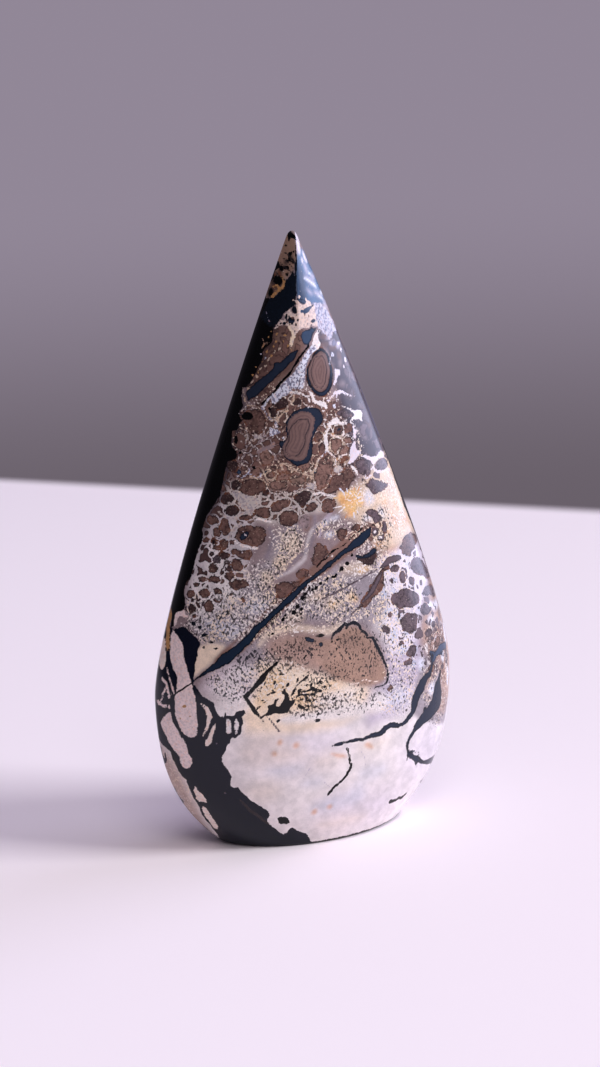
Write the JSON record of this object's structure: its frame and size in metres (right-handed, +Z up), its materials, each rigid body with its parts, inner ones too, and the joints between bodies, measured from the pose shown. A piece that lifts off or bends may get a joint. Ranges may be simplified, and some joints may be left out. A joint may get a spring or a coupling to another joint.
{
  "type": "jasper point",
  "caption": "Polished teardrop point of patterned jasper, with domed lens-shaped sides, a creased tip and a flat cut base to stand on.",
  "frame": {"origin": "on the table plane of the flat base, under the middle of the belly", "axes": "+Z up along the stone's height, +X along its width to the right as seen from the patterned front, +Y towards its back"},
  "size_m": [0.0574, 0.028, 0.11],
  "materials": {
    "polished_jasper": "high natural stone polish: brown and grey orbs and cells in cream veining, black agate bands and a cream lower face"
  },
  "bodies": {
    "root": {"jasper_point": "polished_jasper"}
  },
  "joints": []
}
